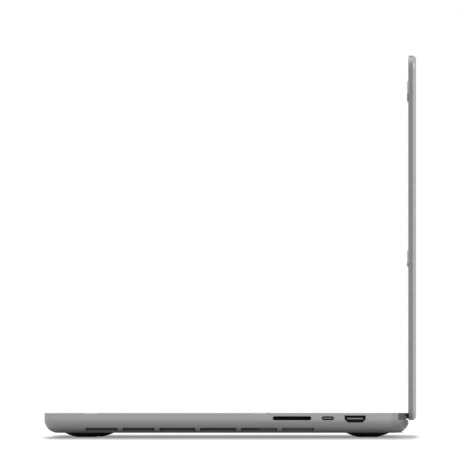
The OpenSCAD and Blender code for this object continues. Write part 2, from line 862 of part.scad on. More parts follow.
// Cold plate, heat pipe and two fin stacks
module heat_sink() {
    sink_w = chip_w + 2 * sink_lap;
    sink_d = chip_d + 2 * sink_lap;
    sink_low = board_low - chip_t - sink_plate_t;
    pipe_reach = fan_x + duct_half;
    color("#b87b56") from_front() {
        translate([-sink_w / 2, chip_u - sink_d / 2, sink_low]) cube([sink_w, sink_d, sink_plate_t]);
        translate([-pipe_w / 2, chip_u, pipe_low]) cube([pipe_w, pipe_rear - chip_u, fin_low - pipe_low]);
        translate([-pipe_w / 2, chip_u, pipe_low]) cube([pipe_w, pipe_w, sink_low - pipe_low]);
        translate([-pipe_reach, pipe_rear - pipe_d, pipe_low])
            cube([2 * pipe_reach, pipe_d, fin_low - pipe_low]);
        both_sides() fins();
    }
}

module fins() {
    front = fan_rear + play;
    step = (2 * duct_half - fin_t) / (fin_count - 1);
    for (i = [0 : fin_count - 1])
        translate([fan_x - duct_half + i * step, front, fin_low])
            cube([fin_t, fin_rear - front, fin_high - fin_low]);
}

// Housing of a fan: a flat box open at the rear, with an inlet in its top
module fan_housing() {
    room_r = blade_r + fan_clear;
    room_h = fan_high - fan_low - 2 * fan_wall;
    translate([fan_x, fan_mid, 0]) {
        difference() {
            translate([-fan_half, -fan_half, fan_low])
                cube([2 * fan_half, fan_half + fan_rear - fan_mid, fan_high - fan_low]);
            translate([0, 0, fan_low + fan_wall]) {
                cylinder(r = room_r, h = room_h);
                cube([room_r, case_d, room_h]);
                translate([-room_r, hub_r, 0]) cube([room_r, case_d, room_h]);
            }
            translate([0, 0, fan_high - 2 * fan_wall]) cylinder(r = inlet_r, h = 3 * fan_wall);
        }
        translate([0, 0, fan_low + fan_wall]) cylinder(r = shaft_r, h = rotor_h - rotor_cap);
        translate([0, 0, fan_low + fan_wall]) cylinder(r = shaft_r + 2, h = fan_seat);
    }
}

// Hub and curved blades of a fan
module fan_rotor() {
    translate([fan_x, fan_mid, fan_low + fan_wall + fan_seat]) {
        difference() {
            cylinder(r = hub_r, h = rotor_h);
            translate([0, 0, -past]) cylinder(r = shaft_r + 0.05, h = rotor_h - rotor_cap + past);
        }
        linear_extrude(rotor_h - blade_t) for (i = [0 : blade_count - 1])
            rotate(360 * i / blade_count) blade_outline();
    }
}

// One blade, seen from above: a piece of a thin ring that starts inside the hub
module blade_outline() {
    bend = blade_r * 0.8;
    sweep = 2 * asin((blade_r - hub_r + 1) / (2 * bend));
    outer = arc([hub_r - 1, bend], bend + blade_t / 2, -90, -90 + sweep, 5);
    inner = arc([hub_r - 1, bend], bend - blade_t / 2, -90 + sweep, -90, 5);
    polygon(concat(outer, inner));
}

module left_fan_housing() { color("#333333") from_front() mirror([1, 0, 0]) fan_housing(); }
module right_fan_housing() { color("#333333") from_front() fan_housing(); }
module left_fan_rotor() { color("#222222") from_front() mirror([1, 0, 0]) fan_rotor(); }
module right_fan_rotor() { color("#222222") from_front() fan_rotor(); }

// Cells beside the click pad's bracket and under it
module battery_cells() {
    side_from = touch_w / 2 + bracket_lap + play + cell_gap;
    side_to = case_w / 2 - speaker_in - speaker_w - 1.5 * cell_gap;
    front = screw_inset + boss_r + cell_gap;
    rear = field_front - 4 * cell_gap;
    color("#2e2e2e") from_front() {
        both_sides() translate([side_from, front, cell_low])
            cube([side_to - side_from, rear - front, inside_high - cell_low]);
        both_sides() for (i = [0, 1])
            translate([cell_gap + i * (side_from - cell_gap) / 2, front, cell_low])
                cube([(side_from - 3 * cell_gap) / 2, rear - front, bracket_low - cell_low]);
    }
}

module speaker() {
    translate([case_w / 2 - speaker_in - speaker_w, speaker_front, cell_low])
        cube([speaker_w, speaker_rear - speaker_front, inside_high - cell_low]);
}

module left_speaker() { color("#3c3c3c") from_front() mirror([1, 0, 0]) speaker(); }
module right_speaker() { color("#3c3c3c") from_front() speaker(); }

// Strips of drilled metal beside the keyboard
module speaker_grilles() {
    color("#909090") from_front() both_sides()
        translate([grille_x, field_mid, deck_h - grille_t])
            linear_extrude(grille_t) difference() {
                rounded_rectangle(grille_w, grille_d, grille_r);
                for (x = [-2 : 2], y = [-14 : 14]) translate([x * 3.2, y * 3.6]) circle(0.6, $fn = 6);
            }
}

// --- Ports ---

module port_body(side, at, h, depth, body_w) {
    difference() {
        port_block(side, at, depth, body_w);
        on_side(side, at, h) translate([0, 0, port_clear - depth])
            linear_extrude(depth + wall_t) children();
    }
}

// Tongue that carries a port's contacts
module port_tongue(side, at, h, depth, size) {
    on_side(side, at, h) translate([-size[0] / 2, -size[1] / 2, contact_gap - depth])
        cube([size[0], size[1], depth]);
}

module sd_card_reader() {
    color("#2b2b2b") from_front()
        port_body(1, card_at, port_h, card_depth, card_size[0] + 2 * port_clear)
            stadium(card_size[0], card_size[1]);
}

module data_port(side, at) {
    port_body(side, at, port_h, data_depth, data_size[0] + 2 * port_clear)
        stadium(data_size[0], data_size[1]);
    port_tongue(side, at, port_h, data_depth, data_tongue);
}

module usb_c_ports() {
    color("#606060") from_front() {
        data_port(1, data_at);
        for (at = left_data_at) data_port(-1, at);
    }
}

module hdmi_port() {
    color("#707070") from_front() {
        port_body(1, video_at, video_h, video_depth, video_size[0] + 2 * port_clear)
            video_outline();
        port_tongue(1, video_at, port_h - 0.2, video_depth, video_tongue);
    }
}

module headphone_jack() {
    color("#3a3a3a") from_front() difference() {
        port_block(-1, sound_at, sound_depth, 2 * sound_r + 3 * port_clear);
        on_side(-1, sound_at, port_h) translate([0, 0, -sound_depth - past])
            cylinder(r = sound_r, h = sound_depth + 2 * past);
    }
}

module power_inlet() {
    color("#a8a8a8") from_front() {
        port_body(-1, power_at, port_h, power_depth, power_size[0] + 2 * port_clear)
            stadium(power_size[0], power_size[1]);
        for (i = [-2 : 2]) on_side(-1, power_at, port_h)
            translate([i * power_pitch, 0, contact_gap - power_depth])
                cylinder(r = power_pin_r, h = power_depth - port_clear);
    }
}

// --- Hinge ---

module at_hinges() {
    for (side = [-1, 1]) translate([side * hinge_x, pivot_u, pivot_h]) children();
}

// Cylinder along the hinge axis, about its middle
module along_axis(r, length) {
    rotate([0, 90, 0]) cylinder(r = r, h = length, center = true);
}

module hinge_brackets() {
    block_d = 5.2;
    half = knuckle_len / 2 + ear_t + play;
    to_wall = pivot_u - trough_front + trough_t;
    color("#8a8a8a") from_front() at_hinges() difference() {
        union() {
            translate([-half - 6, -to_wall - block_d, -knuckle_r])
                cube([2 * half + 12, block_d, inside_high - pivot_h + knuckle_r]);
            translate([-half, -to_wall, -knuckle_r]) cube([2 * half, to_wall - knuckle_r - 1.1, tongue_t]);
            for (side = [-1, 1]) translate([side * (half - ear_t / 2), 0, 0]) {
                along_axis(knuckle_r, ear_t);
                translate([-ear_t / 2, -to_wall + trough_t + play, -knuckle_r])
                    cube([ear_t, to_wall - trough_t - play, knuckle_r]);
            }
        }
        along_axis(pin_r, 3 * half);
    }
}

module hinge_pins() {
    color("#b5b5b5") from_front() at_hinges()
        along_axis(pin_r, knuckle_len + 2 * ear_t + 2 * play);
}

// Dark bar that closes the trough along the hinge axis and stands on its floor at both ends
module hinge_cover() {
    end = cover_end_gap;
    color("#4a4a4a") from_front() difference() {
        intersection() {
            union() {
                translate([-case_w / 2, pivot_u, pivot_h]) rotate([90, 0, 90])
                    linear_extrude(case_w) cover_section();
                both_sides() translate([corner_half, trough_front, trough_floor])
                    cube([case_w, pivot_u + cover_foot - trough_front, pivot_h - trough_floor]);
            }
            translate([0, end, 0]) linear_extrude(2 * deck_h)
                plan_outline(case_w - 2 * end, case_d - 2 * end, case_r, case_r - end);
        }
        at_hinges() cube([window, 20, 20], center = true);
    }
}

module cover_section() {
    translate([trough_front - pivot_u, -cover_round])
        square([pivot_u - trough_front, cover_round + hinge_drop]);
    intersection() {
        circle(cover_round);
        translate([0, -cover_round]) square([cover_round, cover_round + hinge_drop]);
    }
}

// Slotted strips in the cooling ducts
module exhaust_grille() {
    slot = 2;
    step = 3.2;
    color("#151515") from_front() both_sides()
        translate([fan_x - duct_half, trough_front + 1.6, duct_low]) rotate([90, 0, 0])
            linear_extrude(1) difference() {
                square([2 * duct_half, duct_h]);
                for (i = [1 : floor(2 * duct_half / step) - 1])
                    translate([i * step, slot / 4]) square([slot, duct_h - slot / 2]);
            }
}

module hinge_arms() {
    leaf_t = lid_t - lid_back_t - glass_t - panel_t - 0.15;
    leaf_high = 24;
    back = lid_reach + lid_t - lid_back_t;
    color("#8a8a8a") from_front() at_hinges() {
        difference() {
            union() {
                along_axis(knuckle_r, knuckle_len);
                translate([-knuckle_len / 2, 0, -arm_low]) cube([knuckle_len, back, arm_low + arm_web]);
            }
            along_axis(pin_r + pin_play, 2 * knuckle_len);
        }
        translate([-knuckle_len / 2 - 3, back - leaf_t, arm_web])
            cube([knuckle_len + 6, leaf_t, leaf_high]);
    }
}

// --- Lid ---

// Draws a lying lid, outside down and hinge edge at y = 0, in its upright place
module upright() {
    translate([0, lid_outer, lid_low]) rotate([90, 0, 0]) children();
}

// The lid's outline drawn in by t, from thickness low to high
module lid_layer(t, low, high) {
    translate([0, t, low]) linear_extrude(high - low)
        plan_outline(case_w - 2 * t, case_d - 2 * t, lid_hinge_r - t, lid_free_r - t);
}

// Openings that the hinge arms pass through
module arm_slots() {
    for (side = [-1, 1])
        translate([side * hinge_x - knuckle_len / 2 - arm_gap, hinge_back - arm_low - arm_gap, lid_back_t])
            cube([knuckle_len + 2 * arm_gap, arm_low + arm_web + 2 * arm_gap, lid_t]);
}

module lid_shell() {
    color("#9b9b9b") from_front() upright() difference() {
        tray(case_w, case_d, lid_t, lid_hinge_r, lid_free_r, lid_edge_r, lid_rim_r);
        lid_layer(lid_rim, seat_t, lid_t + past);
        lid_layer(inner_rim, lid_back_t, lid_t + past);
        arm_slots();
    }
}

module display_gasket() {
    color("#1a1a1a") from_front() upright() difference() {
        lid_layer(lid_rim, seat_t, lid_t + seal_proud);
        lid_layer(lid_rim + seal_w, seat_t - past, lid_t + 2 * seal_proud);
        arm_slots();
    }
}

module display_glass() {
    color("#0d0d0d") from_front() upright() intersection() {
        lid_layer(lid_rim + seal_w, seat_t, seat_t + glass_t);
        translate([-case_w, chin_h, 0]) cube([2 * case_w, case_d, 2 * lid_t]);
    }
}

module chin_strip() {
    color("#202020") from_front() upright() difference() {
        lid_layer(lid_rim + seal_w, seat_t, seat_t + glass_t);
        translate([-case_w, chin_h, 0]) cube([2 * case_w, case_d, 2 * lid_t]);
        arm_slots();
    }
}

module display_panel() {
    side = inner_rim + 0.4;
    color("#303030") from_front() upright()
        translate([side - case_w / 2, chin_h + 1, seat_t - panel_t])
            cube([case_w - 2 * side, case_d - chin_h - side - camera_d - 2.2, panel_t]);
}

module camera_module() {
    color("#111111") from_front() upright()
        translate([-camera_w / 2, case_d - inner_rim - camera_d - 1, seat_t - camera_t])
            cube([camera_w, camera_d, camera_t]);
}

// Pads on the rim that part the closed lid and the deck
module lid_stop_pads() {
    color("#a4a4a4") from_front() upright() both_sides() for (at = pad_at)
        translate([case_w / 2 - pad_edge - pad_w, case_d - at - pad_len / 2, lid_t]) rotate([90, 0, 90])
            linear_extrude(pad_w) polygon([[0, 0], [pad_len, 0], [pad_len - pad_slope, pad_proud],
                [pad_slope, pad_proud]]);
}

top_case();
bottom_cover();
rubber_feet();
bottom_screws();
deck_stop_pads();
keyboard_frame();
keyboard_plate();
key_domes();
trackpad_bracket();
trackpad_switch();
logic_board();
processor();
memory_chips();
heat_sink();
left_fan_housing();
right_fan_housing();
battery_cells();
left_speaker();
right_speaker();
speaker_grilles();
sd_card_reader();
usb_c_ports();
hdmi_port();
headphone_jack();
power_inlet();
hinge_brackets();
hinge_pins();
hinge_cover();
exhaust_grille();
left_fan_rotor();
right_fan_rotor();
trackpad();
lid_shell();
display_panel();
display_glass();
display_gasket();
chin_strip();
camera_module();
hinge_arms();
lid_stop_pads();
power_button();
escape_key();
function_keys();
number_keys();
delete_key();
tab_key();
upper_letter_keys();
caps_lock_key();
home_letter_keys();
return_key();
left_shift_key();
lower_letter_keys();
right_shift_key();
left_modifier_keys();
space_bar();
right_modifier_keys();
left_arrow_key();
right_arrow_key();
up_arrow_key();
down_arrow_key();
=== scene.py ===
"""Slim laptop computer: finishes, key caps, legends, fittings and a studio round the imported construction."""

import math

import bpy
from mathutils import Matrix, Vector


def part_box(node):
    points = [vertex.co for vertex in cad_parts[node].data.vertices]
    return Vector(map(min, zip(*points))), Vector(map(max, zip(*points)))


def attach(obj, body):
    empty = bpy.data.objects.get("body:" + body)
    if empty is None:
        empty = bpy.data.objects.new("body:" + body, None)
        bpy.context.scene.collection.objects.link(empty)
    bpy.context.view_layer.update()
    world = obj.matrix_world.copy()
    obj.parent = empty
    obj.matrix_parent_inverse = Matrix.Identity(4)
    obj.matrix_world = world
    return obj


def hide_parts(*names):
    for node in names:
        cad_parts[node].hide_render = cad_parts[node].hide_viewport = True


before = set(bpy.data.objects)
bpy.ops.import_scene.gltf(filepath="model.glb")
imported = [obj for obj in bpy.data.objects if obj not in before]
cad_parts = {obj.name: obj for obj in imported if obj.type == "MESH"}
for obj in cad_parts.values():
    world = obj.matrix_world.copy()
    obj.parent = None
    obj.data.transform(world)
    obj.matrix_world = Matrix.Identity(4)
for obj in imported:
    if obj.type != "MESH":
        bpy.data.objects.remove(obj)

bl_info = {
    "name": "Laptop computer",
    "version": (1, 0, 0),
    "blender": (4, 5, 0),
    "location": "View3D > Sidebar > Laptop",
    "description": "Dresses the laptop: metal, glass and plastic finishes, key caps, legends and a studio",
    "category": "Object",
}

MM = 0.001
CASE_LOW, CASE_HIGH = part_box("top_case")
LID_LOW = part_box("lid_shell")[0]
# Height of the middle of the side sockets above the table
PORT_HEIGHT = CASE_HIGH.z - 3.55 * MM
# How high a print lies on its key cap
PRINT_LIFT = 0.012 * MM
# How far the floor goes past the laptop, in metres
FLOOR_REACH = 30
# Grey of the floor as the laptop sees it, at the case's outline and FLOOR_FADE away from it; the darker grey
# near the case is painted shade
FLOOR_NEAR, FLOOR_FAR, FLOOR_FADE = 0.3, 0.55, 30 * MM
# Grey of the floor as the camera sees it, and its glow under the case and clear of it; the weaker glow near
# the case is a painted shadow
FLOOR_SEEN, GLOW_UNDER, GLOW_CLEAR = 0.33, 0.25, 0.64
# Light from overhead, as a multiple of the light from the horizon
OVERHEAD = 1.7
# Width of the camera's sensor in millimetres
SENSOR = 36.0


# --- Settings ---


class KeySettings(bpy.types.PropertyGroup):
    """Sizes of the key caps and of what is printed on them."""

    pitch: bpy.props.FloatProperty(
        name="Pitch", description="Distance from one key to the next", default=19 * MM, unit="LENGTH"
    )
    gap: bpy.props.FloatProperty(
        name="Gap", description="Gap between two key caps", default=2.6 * MM, unit="LENGTH"
    )
    corner: bpy.props.FloatProperty(
        name="Corner", description="Radius of a cap's corners from above", default=1.7 * MM, unit="LENGTH"
    )
    edge: bpy.props.FloatProperty(
        name="Edge", description="Radius that softens a cap's top edge", default=0.28 * MM, unit="LENGTH"
    )
    dish: bpy.props.FloatProperty(
        name="Dish", description="Depth of the hollow in a cap's top", default=0.12 * MM, unit="LENGTH"
    )
    letter: bpy.props.FloatProperty(
        name="Letter", description="Size of a printed letter", default=5.4 * MM, unit="LENGTH"
    )
    word: bpy.props.FloatProperty(
        name="Word", description="Size of a printed word", default=3.5 * MM, unit="LENGTH"
    )


class FinishSettings(bpy.types.PropertyGroup):
    """Colours of the finishes."""

    metal: bpy.props.FloatVectorProperty(
        name="Metal", description="Anodised case and lid", default=(0.335, 0.335, 0.337),
        subtype="COLOR", size=3,
    )
    key: bpy.props.FloatVectorProperty(
        name="Key", description="Key caps", default=(0.011, 0.011, 0.012), subtype="COLOR", size=3
    )
    legend: bpy.props.FloatVectorProperty(
        name="Legend", description="Print on the keys", default=(0.72, 0.72, 0.72), subtype="COLOR", size=3
    )
    rubber: bpy.props.FloatVectorProperty(
        name="Rubber", description="Feet and seal", default=(0.018, 0.018, 0.018), subtype="COLOR", size=3
    )
    bar: bpy.props.FloatVectorProperty(
        name="Hinge bar", description="Plastic bar over the hinge", default=(0.04, 0.04, 0.04),
        subtype="COLOR", size=3,
    )


class StudioSettings(bpy.types.PropertyGroup):
    """The camera and the light."""

    frame_width: bpy.props.FloatProperty(
        name="Frame width", description="Width that the picture takes in at the near side",
        default=312.8 * MM, unit="LENGTH",
    )
    lens: bpy.props.FloatProperty(name="Lens", description="Focal length in millimetres", default=1500)
    sky: bpy.props.FloatProperty(name="Sky", description="Strength of the white surroundings", default=0.96)
    key_light: bpy.props.FloatProperty(
        name="Key light", description="Power of the main lamp in watts", default=7.2
    )


# --- Small helpers ---


def deselect():
    """Leaves nothing selected, so that an operator acts only on what is picked next."""
    bpy.ops.object.select_all(action="DESELECT")


def pick(*objects):
    """Selects these objects and makes the first one active."""
    deselect()
    for item in objects:
        item.select_set(True)
    bpy.context.view_layer.objects.active = objects[0]


def settle(item, name):
    """Names a finished piece and moves its place into its mesh."""
    pick(item)
    bpy.ops.object.transform_apply(location=True, rotation=True, scale=True)
    item.name = name
    item.data.name = name
    return item


def joined(items, name):
    """Joins pieces into one, at the origin."""
    pick(*items)
    if len(items) > 1:
        bpy.ops.object.join()
    return settle(bpy.context.view_layer.objects.active, name)


def edit_mode():
    bpy.ops.object.mode_set(mode="EDIT")


def object_mode():
    bpy.ops.object.mode_set(mode="OBJECT")


def clear_selection(item, kind):
    """Sets what is selected inside a piece, "FACE", "EDGE" or "VERT", and leaves none of it selected."""
    pick(item)
    edit_mode()
    bpy.ops.mesh.select_mode(type=kind)
    bpy.ops.mesh.select_all(action="DESELECT")
    object_mode()


def select_all(item, kind):
    """Goes to edit mode with the whole mesh selected."""
    clear_selection(item, kind)
    edit_mode()
    bpy.ops.mesh.select_all(action="SELECT")


def select_faces(item, test):
    """Selects the faces whose centre and normal pass the test, and goes to edit mode."""
    clear_selection(item, "FACE")
    for face in item.data.polygons:
        face.select = bool(test(face.center, face.normal))
    edit_mode()


def select_edges(item, test):
    """Selects the edges whose two ends pass the test, and goes to edit mode."""
    clear_selection(item, "EDGE")
    points = item.data.vertices
    for line in item.data.edges:
        line.select = bool(test(points[line.vertices[0]].co, points[line.vertices[1]].co))
    edit_mode()


def smooth(item, degrees):
    """Shades a piece smooth except at edges sharper than this."""
    pick(item)
    bpy.ops.object.shade_smooth_by_angle(angle=math.radians(degrees))


def painted(item, material):
    """Gives a piece one material."""
    item.data.materials.clear()
    item.data.materials.append(material)
    return item


# --- Finishes ---


class Finish:
    """A material under construction: a principled shader and the nodes that feed it."""

    def __init__(self, name, colour, roughness, metallic=0.0):
        self.material = bpy.data.materials.new(name)
        self.material.use_nodes = True
        self.tree = self.material.node_tree
        self.shader = self.tree.nodes["Principled BSDF"]
        self.set("Base Color", (*colour, 1))
        self.set("Roughness", roughness)
        self.set("Metallic", metallic)

    def set(self, socket, value):
        self.shader.inputs[socket].default_value = value

    def node(self, kind, **settings):
        made = self.tree.nodes.new(kind)
        for key, value in settings.items():
            setattr(made, key, value)
        return made

    def link(self, source, target):
        self.tree.links.new(source, target)

    def place(self):
        """The place on the piece, in metres."""
        return self.node("ShaderNodeTexCoord").outputs["Object"]

    def noise(self, scale, detail, stretch=None):
        """Noise in object space; scale is in cells a metre, and stretch scales each axis."""
        made = self.node("ShaderNodeTexNoise")
        made.inputs["Scale"].default_value = scale
        made.inputs["Detail"].default_value = detail
        place = self.place()
        if stretch:
            mapping = self.node("ShaderNodeMapping")
            mapping.inputs["Scale"].default_value = stretch
            self.link(place, mapping.inputs["Vector"])
            place = mapping.outputs["Vector"]
        self.link(place, made.inputs["Vector"])
        return made.outputs["Fac"]

    def ranged(self, value, low, high):
        """Maps a 0 to 1 value to low to high."""
        made = self.node("ShaderNodeMapRange")
        made.inputs["To Min"].default_value = low
        made.inputs["To Max"].default_value = high
        self.link(value, made.inputs["Value"])
        return made.outputs["Result"]

    def vary_colour(self, value, dark, light):
        """Base colour between two colours, by a 0 to 1 value."""
        mix = self.node("ShaderNodeMix", data_type="RGBA")
        mix.inputs["A"].default_value = (*dark, 1)
        mix.inputs["B"].default_value = (*light, 1)
        self.link(value, mix.inputs["Factor"])
        self.link(mix.outputs["Result"], self.shader.inputs["Base Color"])

    def axis(self, name):
        """One coordinate of the place on the piece, in metres."""
        parts = self.node("ShaderNodeSeparateXYZ")
        self.link(self.place(), parts.inputs["Vector"])
        return parts.outputs[name]

    def math(self, operation, first, second):
        """Result of a sum on sockets or numbers."""
        made = self.node("ShaderNodeMath", operation=operation)
        for target, value in zip(made.inputs, (first, second)):
            if isinstance(value, bpy.types.NodeSocket):
                self.link(value, target)
            else:
                target.default_value = value
        return made.outputs[0]

    def ramp(self, name, start, end):
        """0 to 1 as a coordinate goes from start to end, and level beyond them."""
        made = self.node("ShaderNodeMapRange", interpolation_type="SMOOTHSTEP")
        made.inputs["From Min"].default_value = start
        made.inputs["From Max"].default_value = end
        self.link(self.axis(name), made.inputs["Value"])
        return made.outputs["Result"]

    def within(self, low, high):
        """1 inside a box in object space, 0 outside."""
        inside = 1.0
        for name, lowest, highest in zip("XYZ", low, high):
            middle = self.math("SUBTRACT", self.axis(name), (lowest + highest) / 2)
            reach = self.math("LESS_THAN", self.math("ABSOLUTE", middle, 0), (highest - lowest) / 2)
            inside = self.math("MULTIPLY", inside, reach)
        return inside

    def beside(self, reach):
        """1 where a place is further than reach to the left or right of the middle, 0 elsewhere."""
        return self.math("GREATER_THAN", self.math("ABSOLUTE", self.axis("X"), 0), reach)

    def vary_roughness(self, value, low, high):
        self.link(self.ranged(value, low, high), self.shader.inputs["Roughness"])

    def bump(self, value, depth, strength):
        """Raises the surface by a 0 to 1 value, depth metres deep."""
        made = self.node("ShaderNodeBump")
        made.inputs["Strength"].default_value = strength
        made.inputs["Distance"].default_value = depth
        self.link(value, made.inputs["Height"])
        self.link(made.outputs["Normal"], self.shader.inputs["Normal"])


def scaled(colour, factor):
    """A colour made lighter or darker."""
    return tuple(channel * factor for channel in colour)


def blasted(name, colour):
    """Bead-blasted, anodised aluminium: a fine even grain and a soft sheen. Each use varies the colour."""
    finish = Finish(name, colour, 0.42, metallic=0.75)
    finish.bump(finish.noise(5200, detail=1), 0.006 * MM, 0.5)
    finish.vary_roughness(finish.noise(14, detail=3), 0.39, 0.45)
    return finish


def anodised(name, colour):
    """Plain anodised metal that hardly changes in colour."""
    finish = blasted(name, colour)
    finish.vary_colour(finish.noise(2600, detail=0), scaled(colour, 0.955), scaled(colour, 1.045))
    return finish.material


def moulded(name, colour, roughness, grain_size=0.12):
    """Moulded plastic with a fine spark texture, its grain in millimetres."""
    finish = Finish(name, colour, roughness)
    grain = finish.noise(1 / (grain_size * MM), detail=1)
    finish.bump(grain, 0.012 * MM, 0.5)
    finish.vary_roughness(finish.noise(60, detail=2), roughness - 0.05, roughness + 0.05)
    return finish.material


def rubber(name, colour):
    """Matt rubber with faint mottling."""
    finish = Finish(name, colour, 0.72)
    mottle = finish.noise(420, detail=3)
    finish.vary_colour(mottle, scaled(colour, 0.7), scaled(colour, 1.4))
    finish.bump(mottle, 0.03 * MM, 0.4)
    return finish.material


def rolled_steel(name, colour, roughness=0.34):
    """Metal with fine streaks from side to side."""
    finish = Finish(name, colour, roughness, metallic=1.0)
    streaks = finish.noise(3000, detail=2, stretch=(0.02, 1, 1))
    finish.vary_roughness(streaks, roughness - 0.08, roughness + 0.08)
    finish.bump(streaks, 0.004 * MM, 0.4)
    return finish.material


def touch_glass(name, colour):
    """Etched glass of the click pad, tinted like the case and smoother."""
    finish = Finish(name, scaled(colour, 0.93), 0.3, metallic=0.55)
    finish.bump(finish.noise(7000, detail=0), 0.002 * MM, 0.3)
    finish.vary_roughness(finish.noise(25, detail=3), 0.28, 0.33)
    return finish.material


def case_metal(name, colour):
    """The case's metal, with painted shade at the rear under the lid, halfway up its sides and on their rims.
    """
    finish = blasted(name, colour)
    # Painted shade: the rear where the lid shades it, a band halfway up the sides, and the rims' highlight
    # dimmed
    rear = finish.ramp("Y", CASE_HIGH.y - 15 * MM, CASE_HIGH.y + 3 * MM)
    below, above = finish.ramp("Z", 6 * MM, 10 * MM), finish.ramp("Z", 13.2 * MM, 10.4 * MM)
    side_shade = finish.math("MULTIPLY", finish.math("MULTIPLY", above, below), 0.2)
    top = finish.ramp("Z", CASE_HIGH.z - 0.7 * MM, CASE_HIGH.z - 0.3 * MM)
    rim = finish.math("MULTIPLY", finish.math("MULTIPLY", finish.beside(CASE_HIGH.x - 0.5 * MM), top), 0.5)
    shade = finish.math("ADD", rear, finish.math("MAXIMUM", side_shade, rim))
    finish.vary_colour(shade, scaled(colour, 0.98), scaled(colour, 0.27))
    return finish.material


def cover_metal(name, colour):
    """The case's metal, with painted shade darkening the inside of the cover, as it shows through the vents.
    """
    finish = blasted(name, colour)
    side, end, bottom = 6.7 * MM, 15 * MM, 3.5 * MM
    low = (CASE_LOW.x + side, CASE_LOW.y + end, bottom)
    high = (CASE_HIGH.x - side, CASE_HIGH.y - end, 1)
    # Painted shade inside the cover, where the vents show it
    finish.vary_colour(finish.within(low, high), colour, scaled(colour, 0.3))
    return finish.material


def lid_metal(name, colour):
    """The case's metal with painted light and shade on the lid: darker than the case, with painted shade over
    the inner part of its edge and a painted highlight on the outer part.
    """
    finish = blasted(name, colour)
    # Painted highlight on the outer part of the edge, as if lit from behind, and painted shade over the inner
    # part
    outward = finish.ramp("Y", LID_LOW.y + 2.2 * MM, LID_LOW.y + 3.8 * MM)
    inward = finish.ramp("Y", LID_LOW.y + 1.2 * MM, LID_LOW.y)
    share = finish.math("MAXIMUM", outward, finish.math("MULTIPLY", inward, 0.35))
    finish.vary_colour(share, scaled(colour, 0.56), scaled(colour, 0.86))
    return finish.material


def hinge_bar(name, colour, metal):
    """Dark plastic with painted light and shade: its two ends take the case's colour at the front and fade to
    dark towards the rear, with painted shade on their top rims and on the bar under the lid.
    """
    finish = Finish(name, colour, 0.5)
    finish.bump(finish.noise(8000, detail=1), 0.012 * MM, 0.5)
    low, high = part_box("hinge_cover")
    ends = finish.beside(high.x - 6 * MM)
    # Painted light: the ends take the case's colour at the front and fade to dark towards the rear
    fade = finish.math("MULTIPLY", ends, finish.ramp("Y", low.y + 2.3 * MM, low.y - 0.4 * MM))
    # Painted shade on the ends' top rims and on the bar under the lid
    rim = finish.math("MULTIPLY", ends, finish.ramp("Z", high.z - 0.8 * MM, high.z - 0.3 * MM))
    under = finish.ramp("Y", high.y - 3.4 * MM, high.y - 0.8 * MM)
    dark = finish.math("MAXIMUM", finish.math("MULTIPLY", rim, 0.65), finish.math("MULTIPLY", under, 0.75))
    plastic = finish.math("MULTIPLY", finish.math("SUBTRACT", 1.0, dark), colour[0] / metal[0])
    finish.vary_colour(finish.math("MAXIMUM", fade, plastic), (0, 0, 0), metal)
    return finish.material


def port_metal(name, colour, tongue, middle, reach):
    """Dark drawn steel; the tongue that carries the contacts, reach about middle, has its own colour."""
    finish = Finish(name, colour, 0.35, metallic=0.6)
    finish.vary_roughness(finish.noise(3000, detail=2, stretch=(0.02, 1, 1)), 0.28, 0.42)
    finish.vary_colour(finish.within(middle - reach, middle + reach), colour, tongue)
    return finish.material


def screen_glass(name, low, high):
    """Gloss glass, black at its border and a shade lighter over the display, which goes from low to high."""
    border = (0.0022, 0.0022, 0.0024)
    finish = Finish(name, border, 0.06)
    finish.set("IOR", 1.5)
    finish.set("Specular IOR Level", 0.42)
    finish.vary_colour(finish.within(low, high), border, (0.0062, 0.0063, 0.0068))
    finish.vary_roughness(finish.noise(9, detail=4), 0.045, 0.085)
    return finish.material


def circuit(name):
    """Green solder mask with lighter tracks."""
    finish = Finish(name, (0.01, 0.05, 0.03), 0.4)
    tracks = finish.noise(260, detail=0, stretch=(1, 0.1, 1))
    finish.vary_colour(tracks, (0.006, 0.035, 0.02), (0.02, 0.09, 0.05))
    return finish.material


def paint_nodes(material, *names):
    """Gives CAD nodes a material."""
    for name in names:
        painted(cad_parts[name], material)


